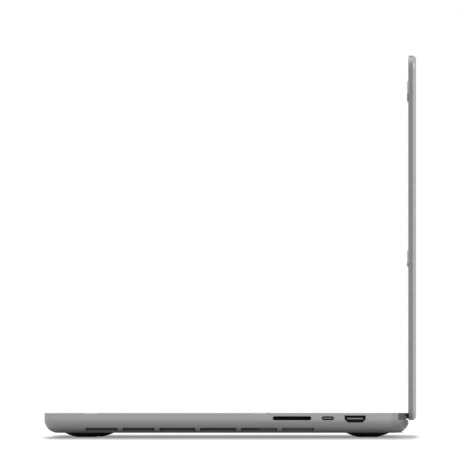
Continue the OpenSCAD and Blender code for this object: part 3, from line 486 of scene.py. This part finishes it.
class LAPTOP_OT_finishes(bpy.types.Operator):
    """Makes every finish and gives it to the construction's own pieces"""

    bl_idname = "laptop.finishes"
    bl_label = "Finishes"

    def execute(self, context):
        colours = context.scene.laptop_finishes
        metal = tuple(colours.metal)
        paint_nodes(case_metal("case_metal", metal), "top_case")
        paint_nodes(lid_metal("lid_metal", metal), "lid_shell")
        paint_nodes(cover_metal("cover_metal", scaled(metal, 0.97)), "bottom_cover")
        paint_nodes(anodised("grille_metal", metal), "speaker_grilles")
        paint_nodes(rubber("foot_rubber", tuple(colours.rubber)), "rubber_feet", "display_gasket")
        paint_nodes(moulded("pad_plastic", (0.42, 0.42, 0.42), 0.45), "deck_stop_pads")
        paint_nodes(moulded("lid_pad_plastic", (0.34, 0.34, 0.34), 0.45), "lid_stop_pads")
        paint_nodes(moulded("key_web", (0.007, 0.007, 0.0075), 0.55, 0.15), "keyboard_frame")
        paint_nodes(hinge_bar("hinge_plastic", tuple(colours.bar), metal), "hinge_cover")
        paint_nodes(moulded("chin_plastic", (0.012, 0.012, 0.012), 0.42), "chin_strip")
        paint_nodes(moulded("black_plastic", (0.012, 0.012, 0.012), 0.5), "exhaust_grille", "sd_card_reader",
            "headphone_jack", "left_fan_housing", "right_fan_housing", "left_fan_rotor",
            "right_fan_rotor", "left_speaker", "right_speaker")
        paint_nodes(rolled_steel("port_steel", (0.16, 0.16, 0.165)), "power_inlet")
        self.paint_ports()
        paint_nodes(rolled_steel("hinge_steel", (0.09, 0.09, 0.095)), "hinge_brackets", "hinge_pins",
            "hinge_arms")
        paint_nodes(rolled_steel("plate_steel", (0.3, 0.3, 0.3)), "keyboard_plate", "trackpad_bracket",
            "trackpad_switch")
        paint_nodes(rolled_steel("screw_steel", (0.12, 0.12, 0.125), 0.4), "bottom_screws")
        paint_nodes(rolled_steel("copper", (0.5, 0.24, 0.13), 0.3), "heat_sink")
        paint_nodes(circuit("circuit_board"), "logic_board")
        paint_nodes(moulded("chip", (0.02, 0.02, 0.02), 0.35), "processor", "memory_chips")
        paint_nodes(moulded("cell_wrap", (0.03, 0.03, 0.033), 0.3, 0.6), "battery_cells")
        paint_nodes(moulded("panel", (0.015, 0.015, 0.016), 0.6), "display_panel")
        paint_nodes(rubber("dome_rubber", (0.5, 0.5, 0.47)), "key_domes")
        paint_nodes(touch_glass("touch_glass", metal), "trackpad")
        glass_low, glass_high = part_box("display_glass")
        side, top, bottom = 4.6 * MM, 9 * MM, 5 * MM
        active_low = glass_low + Vector((side, -MM, bottom))
        active_high = glass_high - Vector((side, -MM, top))
        paint_nodes(screen_glass("screen_glass", active_low, active_high), "display_glass")
        paint_nodes(moulded("lens", (0.01, 0.01, 0.012), 0.2), "camera_module")
        return {"FINISHED"}

    def paint_ports(self):
        """Paints the tongues inside the data and video ports lighter than the ports themselves."""
        steel = (0.012, 0.012, 0.012)
        low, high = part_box("hdmi_port")
        middle = Vector((0, (low.y + high.y) / 2, PORT_HEIGHT - 0.2 * MM))
        reach = Vector((1, 5.5 * MM, 0.45 * MM))
        paint_nodes(port_metal("video_steel", steel, (0.22, 0.22, 0.22), middle, reach), "hdmi_port")
        middle = Vector((0, 0, PORT_HEIGHT))
        reach = Vector((1, 1, 0.4 * MM))
        paint_nodes(port_metal("data_steel", steel, (0.2, 0.2, 0.2), middle, reach), "usb_c_ports")


# --- Keys ---

# Each run of keys: node, row from the front, start and widths in key units, and what is printed on each key
KEY_RUNS = [
    ("left_modifier_keys", 0, 0, [1, 1, 1, 1.25], ["fn", "ctrl", "alt", "meta"]),
    ("space_bar", 0, 4.25, [5], [""]),
    ("right_modifier_keys", 0, 9.25, [1.25, 1], ["meta", "alt"]),
    ("left_shift_key", 1, 0, [2.25], ["shift"]),
    ("lower_letter_keys", 1, 2.25, [1] * 10, "Z X C V B N M <, >. ?/".split()),
    ("right_shift_key", 1, 12.25, [2.25], ["shift"]),
    ("caps_lock_key", 2, 0, [1.75], ["caps lock"]),
    ("home_letter_keys", 2, 1.75, [1] * 11, "A S D F G H J K L :; \"'".split()),
    ("return_key", 2, 12.75, [1.75], ["return"]),
    ("tab_key", 3, 0, [1.5], ["tab"]),
    ("upper_letter_keys", 3, 1.5, [1] * 13, "Q W E R T Y U I O P {[ }] |\\".split()),
    ("number_keys", 4, 0, [1] * 13, "~` !1 @2 #3 $4 %5 ^6 &7 *8 (9 )0 _- +=".split()),
    ("delete_key", 4, 13, [1.5], ["delete"]),
    ("escape_key", 5, 0, [1.5], ["esc"]),
    ("function_keys", 5, 1.5, [1] * 12, [f"F{number}" for number in range(1, 13)]),
    ("power_button", 5, 13.5, [1], ["power"]),
]
# Half-height keys: node, start in key units, level in the front row and the way their arrow points in degrees
ARROW_KEYS = [
    ("left_arrow_key", 11.5, 0, 180),
    ("down_arrow_key", 12.5, 0, 270),
    ("up_arrow_key", 12.5, 1, 90),
    ("right_arrow_key", 13.5, 0, 0),
]


def make_cap(width, depth, height, settings):
    """One key cap about the origin, its top at height: round corners, a soft rim and a shallow dish."""
    deselect()
    bpy.ops.mesh.primitive_cube_add(size=1, location=(0, 0, height / 2), scale=(width, depth, height))
    cap = settle(bpy.context.object, "cap")
    select_edges(cap, lambda a, b: abs(a.z - b.z) > height / 2)
    bpy.ops.mesh.bevel(offset=settings.corner, segments=5, affect="EDGES")
    object_mode()
    select_edges(cap, lambda a, b: min(a.z, b.z) > height * 0.99)
    bpy.ops.mesh.bevel(offset=settings.edge, segments=3, affect="EDGES")
    object_mode()
    select_faces(cap, lambda centre, normal: normal.z > 0.99 and centre.z > height * 0.99)
    # Two steps inward from the soft rim, each taking the top down by half the dish
    start = settings.edge
    for step in (0.9 * MM, 1.3 * MM):
        bpy.ops.mesh.inset(thickness=0.02 * MM)
        shrink = [(size - 2 * (start + step)) / (size - 2 * start) for size in (width, depth)]
        bpy.ops.transform.resize(value=(*shrink, 1))
        bpy.ops.transform.translate(value=(0, 0, -settings.dish / 2))
        start += step
    object_mode()
    smooth(cap, 50)
    return cap


def copy_at(item, place):
    """A copy with its own mesh, moved."""
    made = item.copy()
    made.data = item.data.copy()
    made.location = place
    bpy.context.collection.objects.link(made)
    return made


def key_origin():
    """Front left corner of the block of key caps, and the height of their tops."""
    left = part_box("escape_key")[0].x
    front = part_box("space_bar")[0].y
    return Vector((left, front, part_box("space_bar")[1].z))


def key_centres(run, settings):
    """Middle of each key of a run, at the height of its top, with its width."""
    _, row, start, widths, _ = run
    corner = key_origin()
    depth = settings.pitch - settings.gap
    found = []
    for width in widths:
        span = width * settings.pitch - settings.gap
        offset = Vector((start * settings.pitch + span / 2, row * settings.pitch + depth / 2, 0))
        found.append((corner + offset, span))
        start += width
    return found


def arrow_centre(start, level, settings):
    """Middle of a half-height key, at the height of its top, with its depth."""
    corner = key_origin()
    size = settings.pitch - settings.gap
    low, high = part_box("up_arrow_key" if level else "down_arrow_key")
    centre = Vector((corner.x + start * settings.pitch + size / 2, (low.y + high.y) / 2, corner.z))
    return centre, high.y - low.y


class LAPTOP_OT_key_caps(bpy.types.Operator):
    """Models the key caps: one cap for each size, copied to its places"""

    bl_idname = "laptop.key_caps"
    bl_label = "Key caps"

    def execute(self, context):
        settings = context.scene.laptop_keys
        material = moulded("key_plastic", tuple(context.scene.laptop_finishes.key), 0.46, 0.1)
        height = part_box("space_bar")[1].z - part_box("space_bar")[0].z
        depth = settings.pitch - settings.gap
        drop = Vector((0, 0, height))
        patterns = {}

        def cap_of(width, deep):
            """The pattern for a cap of this size, modelled when it is first needed."""
            size = (round(width, 6), round(deep, 6))
            if size not in patterns:
                patterns[size] = painted(make_cap(width, deep, height, settings), material)
            return patterns[size]

        for run in KEY_RUNS:
            centres = key_centres(run, settings)
            caps = [copy_at(cap_of(span, depth), centre - drop) for centre, span in centres]
            self.finish_caps(caps, run[0])
        for node, start, level, _ in ARROW_KEYS:
            centre, deep = arrow_centre(start, level, settings)
            self.finish_caps([copy_at(cap_of(depth, deep), centre - drop)], node)
        for pattern in patterns.values():
            bpy.data.objects.remove(pattern)
        return {"FINISHED"}

    def finish_caps(self, caps, node):
        """Joins the caps of one node into the piece that stands for it."""
        piece = joined(caps, node.replace("keys", "caps").replace("key", "cap") + "_top")
        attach(piece, node)
        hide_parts(node)


def printed(text, place, size, material, align="CENTER"):
    """A printed word or letter lying on a key."""
    deselect()
    bpy.ops.object.text_add(location=place)
    item = bpy.context.object
    item.data.body = text
    item.data.size = size
    item.data.align_x = align
    item.data.align_y = "CENTER"
    item.data.resolution_u = 3
    bpy.ops.object.convert(target="MESH")
    return painted(bpy.context.object, material)


def arrow_mark(place, turn, size, material):
    """A small filled triangle that points along turn degrees."""
    deselect()
    bpy.ops.mesh.primitive_circle_add(vertices=3, radius=size, fill_type="NGON", location=place,
        rotation=(0, 0, math.radians(turn - 90)))
    return painted(bpy.context.object, material)


def power_mark(place, size, material):
    """A ring with a gap and a bar, the usual mark for power."""
    deselect()
    bpy.ops.mesh.primitive_circle_add(vertices=32, radius=size, location=place)
    ring = bpy.context.object
    settle(ring, "power_ring")
    select_edges(ring, lambda a, b: (a + b).y / 2 < place.y + size * 0.75)
    bpy.ops.mesh.select_all(action="INVERT")
    bpy.ops.mesh.delete(type="EDGE")
    bpy.ops.mesh.select_all(action="SELECT")
    bpy.ops.mesh.extrude_region_move()
    bpy.ops.transform.resize(value=(0.8, 0.8, 1), center_override=place)
    object_mode()
    painted(ring, material)
    deselect()
    bpy.ops.mesh.primitive_plane_add(size=size, location=place + Vector((0, size * 0.75, 0)))
    bpy.ops.transform.resize(value=(0.2, 0.9, 1))
    bar = painted(bpy.context.object, material)
    return joined([ring, bar], "power_mark")


class LAPTOP_OT_legends(bpy.types.Operator):
    """Prints letters, digits and words on the key caps"""

    bl_idname = "laptop.legends"
    bl_label = "Legends"

    def execute(self, context):
        settings = context.scene.laptop_keys
        colour = tuple(context.scene.laptop_finishes.legend)
        ink = Finish("legend_ink", colour, 0.55)
        ink.vary_colour(ink.noise(3000, detail=0), scaled(colour, 0.92), scaled(colour, 1.04))
        lift = Vector((0, 0, PRINT_LIFT - settings.dish))
        for run in KEY_RUNS:
            marks = []
            for (centre, span), label in zip(key_centres(run, settings), run[4]):
                marks += self.key_marks(label, centre + lift, span, settings, ink.material)
            self.finish_marks(marks, run[0])
        for node, start, level, turn in ARROW_KEYS:
            centre, _ = arrow_centre(start, level, settings)
            self.finish_marks([arrow_mark(centre + lift, turn, 1.2 * MM, ink.material)], node)
        return {"FINISHED"}

    def key_marks(self, label, centre, span, settings, material):
        """What one key shows: a letter, two signs one above the other, or a word."""
        if not label:
            return []
        if label == "power":
            return [power_mark(centre, 1.7 * MM, material)]
        if len(label) == 1:
            return [printed(label, centre, settings.letter, material)]
        if len(label) == 2 and not label.isalpha() and label[0] != "F":
            step = Vector((0, 3.1 * MM, 0))
            size = settings.letter * 0.8
            places = (centre + step, centre - step)
            return [printed(sign, place, size, material) for sign, place in zip(label, places)]
        if label[0] == "F" and label[1:].isdigit():
            return [printed(label, centre, settings.word, material)]
        edge = span / 2 - 2.6 * MM
        low = Vector((0, -4.6 * MM, 0))
        if span < settings.pitch:
            return [printed(label, centre + low, settings.word * 0.92, material)]
        if centre.x < 0:
            return [printed(label, centre + low - Vector((edge, 0, 0)), settings.word, material, "LEFT")]
        return [printed(label, centre + low + Vector((edge, 0, 0)), settings.word, material, "RIGHT")]

    def finish_marks(self, marks, node):
        """Joins what is printed on the keys of one node."""
        if marks:
            piece = joined(marks, node + "_print")
            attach(piece, node)


# --- Speaker strips ---


class LAPTOP_OT_speaker_strips(bpy.types.Operator):
    """Drills the speaker strips: one cell with a hole, repeated over each strip inside a rim"""

    bl_idname = "laptop.speaker_strips"
    bl_label = "Speaker strips"

    def execute(self, context):
        low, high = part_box("speaker_grilles")
        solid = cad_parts["speaker_grilles"].data
        material = solid.materials[0]
        inner = min(vertex.co.x for vertex in solid.vertices if vertex.co.x > 0)
        width, depth = high.x - inner, high.y - low.y
        pitch, least_rim = 1.6 * MM, 0.3 * MM
        columns, rows = (int((size - 2 * least_rim) / pitch) for size in (width, depth))
        middle = Vector(((inner + high.x) / 2, (low.y + high.y) / 2, high.z))
        cells = self.drilled_cells(pitch, columns, rows, high.z - low.z)
        cells.location = middle - Vector(((columns - 1) * pitch / 2, (rows - 1) * pitch / 2, 0))
        rim = self.rim(width, depth, columns * pitch, rows * pitch)
        rim.location = middle
        right = joined([cells, rim], "strip")
        left = copy_at(right, (0, 0, 0))
        pick(left)
        bpy.ops.transform.mirror(constraint_axis=(True, False, False))
        bpy.ops.object.transform_apply(location=True, rotation=True, scale=True)
        edit_mode()
        bpy.ops.mesh.select_all(action="SELECT")
        bpy.ops.mesh.flip_normals()
        object_mode()
        piece = painted(joined([right, left], "speaker_strips"), material)
        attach(piece, "case")
        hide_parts("speaker_grilles")
        return {"FINISHED"}

    def drilled_cells(self, pitch, columns, rows, depth):
        """A block of square cells, each with an eight-sided hole through it."""
        deselect()
        bpy.ops.mesh.primitive_circle_add(vertices=8, radius=0.36 * MM, fill_type="NOTHING",
            rotation=(0, 0, math.pi / 8))
        hole = settle(bpy.context.object, "hole")
        deselect()
        bpy.ops.mesh.primitive_circle_add(vertices=4, radius=pitch / math.sqrt(2), fill_type="NOTHING",
            rotation=(0, 0, math.pi / 4))
        border = settle(bpy.context.object, "border")
        select_all(border, "EDGE")
        bpy.ops.mesh.subdivide()
        object_mode()
        cell = joined([hole, border], "cell")
        select_all(cell, "EDGE")
        bpy.ops.mesh.bridge_edge_loops()
        object_mode()
        select_edges(cell, lambda a, b: max(a.length, b.length) < 0.4 * MM)
        bpy.ops.mesh.extrude_region_move(TRANSFORM_OT_translate={"value": (0, 0, -depth)})
        bpy.ops.mesh.select_all(action="SELECT")
        bpy.ops.mesh.normals_make_consistent(inside=False)
        object_mode()
        for count, offset in ((columns, (pitch, 0, 0)), (rows, (0, pitch, 0))):
            array = cell.modifiers.new("row", "ARRAY")
            array.count = count
            array.use_relative_offset = False
            array.use_constant_offset = True
            array.constant_offset_displace = offset
            array.use_merge_vertices = True
            array.merge_threshold = 0.005 * MM
            pick(cell)
            bpy.ops.object.modifier_apply(modifier=array.name)
        return cell

    def rim(self, width, depth, hole_width, hole_depth):
        """The flat rim round the cells, out to the strip's round corners."""
        deselect()
        bpy.ops.mesh.primitive_plane_add(size=1)
        plate = bpy.context.object
        plate.scale = (width, depth, 1)
        settle(plate, "rim")
        select_all(plate, "VERT")
        bpy.ops.mesh.bevel(offset=2 * MM, segments=5, affect="VERTICES")
        bpy.ops.mesh.select_mode(type="FACE")
        bpy.ops.mesh.select_all(action="SELECT")
        bpy.ops.mesh.inset(thickness=min(width - hole_width, depth - hole_depth) / 2)
        bpy.ops.mesh.delete(type="FACE")
        object_mode()
        return plate


# --- Screen and camera ---


class LAPTOP_OT_camera_eye(bpy.types.Operator):
    """Models the camera's window behind the screen's glass: a ring round its lens"""

    bl_idname = "laptop.camera_eye"
    bl_label = "Camera eye"

    def execute(self, context):
        glass_low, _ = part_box("display_glass")
        eye_low, eye_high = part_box("camera_module")
        height = (eye_low.z + eye_high.z) / 2
        face = glass_low.y - 0.01 * MM
        lens = Finish("camera_lens", (0.004, 0.006, 0.012), 0.08)
        lens.set("Coat Weight", 0.5)
        ring = Finish("camera_ring", (0.02, 0.02, 0.022), 0.3)
        pieces = []
        for radius, depth, material in ((2.1, 0.02, ring.material), (1.25, 0.035, lens.material)):
            deselect()
            bpy.ops.mesh.primitive_cylinder_add(vertices=32, radius=radius * MM, depth=depth * MM,
                location=(0, face, height), rotation=(math.pi / 2, 0, 0))
            pieces.append(painted(bpy.context.object, material))
        eye = joined(pieces, "camera_eye")
        smooth(eye, 40)
        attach(eye, "lid")
        return {"FINISHED"}


# --- Studio ---


class LAPTOP_OT_studio(bpy.types.Operator):
    """Makes the floor, the light and the camera"""

    bl_idname = "laptop.studio"
    bl_label = "Studio"

    def execute(self, context):
        settings = context.scene.laptop_studio
        self.make_floor()
        self.make_world(context.scene, settings.sky)
        self.make_lamps(settings.key_light)
        self.make_camera(context.scene, settings)
        context.scene.view_settings.view_transform = "Standard"
        return {"FINISHED"}

    def make_floor(self):
        """A pale floor: level under the laptop, falling on the near side and rising on the far side."""
        deselect()
        bpy.ops.mesh.primitive_plane_add(size=1)
        floor = bpy.context.object
        # The level part ends inside the case's two sides
        half = CASE_HIGH.x - 14 * MM
        floor.scale = (2 * half, 2 * FLOOR_REACH, 1)
        settle(floor, "floor")
        # Steps outward, each with its run and its fall or rise, in millimetres
        near = ((6, 0.8), (8, 1.0), (8, 0.9), (30, 1.6), (FLOOR_REACH / MM, 0))
        far = ((8, 0.5), (8, 0.7), (10, 0.8), (30, 1.8), (FLOOR_REACH / MM, 0))
        for side, steps in ((1, near), (-1, far)):
            select_edges(floor, lambda a, b: min(side * a.x, side * b.x) > half * 0.99)
            for run, fall in steps:
                move = (side * run * MM, 0, -side * fall * MM)
                bpy.ops.mesh.extrude_region_move(TRANSFORM_OT_translate={"value": move})
            object_mode()
        select_all(floor, "FACE")
        bpy.ops.mesh.normals_make_consistent(inside=False)
        object_mode()
        smooth(floor, 30)
        painted(floor, self.floor_material())

    def floor_material(self):
        """White as the camera sees it where nothing shades it, with a painted shadow round the case; darker as
        the laptop sees it, with painted shade near the case and a painted pool of light behind it.
        """
        paper = Finish("floor_paper", (0.8, 0.8, 0.8), 0.9)
        paper.set("Specular IOR Level", 0.0)
        seen = paper.node("ShaderNodeLightPath").outputs["Is Camera Ray"]
        gap = self.gap_to_case(paper)
        # Painted shade: as the laptop sees it, the floor is darker near the case
        away = paper.ranged(paper.math("DIVIDE", gap, FLOOR_FADE), FLOOR_NEAR, FLOOR_FAR)
        # Behind the case the paper is painted brighter as the laptop sees it, a painted pool of light for the
        # lid's lower edge to reflect
        behind = paper.math("MULTIPLY", paper.ramp("Y", CASE_HIGH.y - 3 * MM, CASE_HIGH.y + 5 * MM), 0.95)
        away = paper.math("MAXIMUM", away, behind)
        tone = paper.node("ShaderNodeMix")
        paper.link(seen, tone.inputs["Factor"])
        paper.link(away, tone.inputs["A"])
        tone.inputs["B"].default_value = FLOOR_SEEN
        mottle = paper.ranged(paper.noise(3, detail=2), 0.995, 1.0)
        paper.vary_colour(paper.math("MULTIPLY", tone.outputs["Result"], mottle), (0, 0, 0), (1, 1, 1))
        # Painted shadow: the camera sees less glow under and near the case
        under, fade = 7 * MM, 13 * MM
        glow = paper.ranged(paper.math("DIVIDE", paper.math("ADD", gap, under), fade), GLOW_UNDER, GLOW_CLEAR)
        paper.set("Emission Color", (1, 1, 1, 1))
        paper.link(paper.math("MULTIPLY", seen, glow), paper.shader.inputs["Emission Strength"])
        return paper.material

    def gap_to_case(self, paper):
        """Distance on the floor from the case's outline, less than 0 under it and steeper front to rear; it
        shapes the painted shade and shadow round the case.
        """
        middle, half = (CASE_HIGH + CASE_LOW) / 2, (CASE_HIGH - CASE_LOW) / 2
        corner, steeper = 16 * MM, 2.6
        shift, spread = 2.5 * MM, 4 * MM
        place = paper.place()
        for operation, value in (
            ("SUBTRACT", (middle.x, middle.y + shift, 0)),
            ("ABSOLUTE", (0, 0, 0)),
            ("SUBTRACT", (half.x - corner, half.y + spread - corner / steeper, 1)),
            ("MULTIPLY", (1, steeper, 1)),
            ("MAXIMUM", (0, 0, 0)),
            ("LENGTH", (0, 0, 0)),
        ):
            step = paper.node("ShaderNodeVectorMath", operation=operation)
            paper.link(place, step.inputs[0])
            step.inputs[1].default_value = value
            place = step.outputs["Value" if operation == "LENGTH" else "Vector"]
        return paper.math("SUBTRACT", place, corner)

    def make_world(self, scene, strength):
        """White for the camera; for the object, stronger overhead than at the horizon."""
        world = bpy.data.worlds.new("white_room")
        scene.world = world
        world.use_nodes = True
        nodes, links = world.node_tree.nodes, world.node_tree.links
        back = nodes["Background"]
        back.inputs["Color"].default_value = (1, 1, 1, 1)
        place = nodes.new("ShaderNodeTexCoord")
        parts = nodes.new("ShaderNodeSeparateXYZ")
        links.new(place.outputs["Generated"], parts.inputs["Vector"])
        rise = nodes.new("ShaderNodeMapRange")
        rise.inputs["From Min"].default_value = 0.3
        rise.inputs["To Min"].default_value = strength
        rise.inputs["To Max"].default_value = strength * OVERHEAD
        links.new(parts.outputs["Z"], rise.inputs["Value"])
        path = nodes.new("ShaderNodeLightPath")
        mix = nodes.new("ShaderNodeMix")
        links.new(rise.outputs["Result"], mix.inputs["A"])
        mix.inputs["B"].default_value = 1.0
        links.new(path.outputs["Is Camera Ray"], mix.inputs["Factor"])
        links.new(mix.outputs["Result"], back.inputs["Strength"])

    def make_lamps(self, power):
        """A lamp above the front and a lamp behind; each has a place, a target, a size and a power."""
        places = [
            ("top_lamp", (0.2, -0.3, 1.4), (0, 0, 0.05), 1.2, power),
            ("back_lamp", (1.0, 1.2, 0.8), (0.15, 0.1, 0.12), 0.8, power * 1.2),
        ]
        for name, place, target, size, watts in places:
            deselect()
            bpy.ops.object.light_add(type="AREA", location=place)
            lamp = bpy.context.object
            lamp.name = name
            lamp.data.shape = "DISK"
            lamp.data.size = size
            lamp.data.energy = watts
            lamp.rotation_euler = (Vector(target) - Vector(place)).to_track_quat("-Z", "Y").to_euler()

    def make_camera(self, scene, settings):
        """Looks along -X with the deck and the screen seen edge-on."""
        deselect()
        near_side = CASE_HIGH.x
        distance = settings.frame_width * settings.lens / SENSOR
        eye = Vector((near_side + distance, LID_LOW.y, CASE_HIGH.z))
        aim = Vector((near_side, -0.07 * MM, 140.8 * MM))
        bpy.ops.object.camera_add(location=eye)
        camera = bpy.context.object
        camera.name = "view_camera"
        camera.data.lens = settings.lens
        camera.data.sensor_width = SENSOR
        camera.data.clip_start = 1.0
        camera.data.clip_end = 60.0
        camera.rotation_euler = (aim - eye).to_track_quat("-Z", "Y").to_euler()
        scene.camera = camera


class LAPTOP_PT_panel(bpy.types.Panel):
    """Lists the laptop's settings and operators"""

    bl_idname = "LAPTOP_PT_panel"
    bl_label = "Laptop"
    bl_space_type = "VIEW_3D"
    bl_region_type = "UI"
    bl_category = "Laptop"

    def draw(self, context):
        layout = self.layout
        for group in (context.scene.laptop_keys, context.scene.laptop_finishes, context.scene.laptop_studio):
            box = layout.box()
            for name in group.__annotations__:
                box.prop(group, name)
        for operator in OPERATORS:
            layout.operator(operator.bl_idname)


SETTINGS = {"laptop_keys": KeySettings, "laptop_finishes": FinishSettings, "laptop_studio": StudioSettings}
OPERATORS = (
    LAPTOP_OT_finishes,
    LAPTOP_OT_key_caps,
    LAPTOP_OT_legends,
    LAPTOP_OT_speaker_strips,
    LAPTOP_OT_camera_eye,
    LAPTOP_OT_studio,
)


def register():
    for group in SETTINGS.values():
        bpy.utils.register_class(group)
    for name, group in SETTINGS.items():
        setattr(bpy.types.Scene, name, bpy.props.PointerProperty(type=group))
    for item in (*OPERATORS, LAPTOP_PT_panel):
        bpy.utils.register_class(item)


def unregister():
    for item in reversed((*OPERATORS, LAPTOP_PT_panel)):
        bpy.utils.unregister_class(item)
    for name in SETTINGS:
        delattr(bpy.types.Scene, name)
    for group in SETTINGS.values():
        bpy.utils.unregister_class(group)


def main():
    """Registers the add-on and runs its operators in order."""
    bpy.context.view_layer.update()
    register()
    bpy.ops.laptop.finishes()
    bpy.ops.laptop.key_caps()
    bpy.ops.laptop.legends()
    bpy.ops.laptop.speaker_strips()
    bpy.ops.laptop.camera_eye()
    bpy.ops.laptop.studio()


if __name__ == "__main__":
    main()
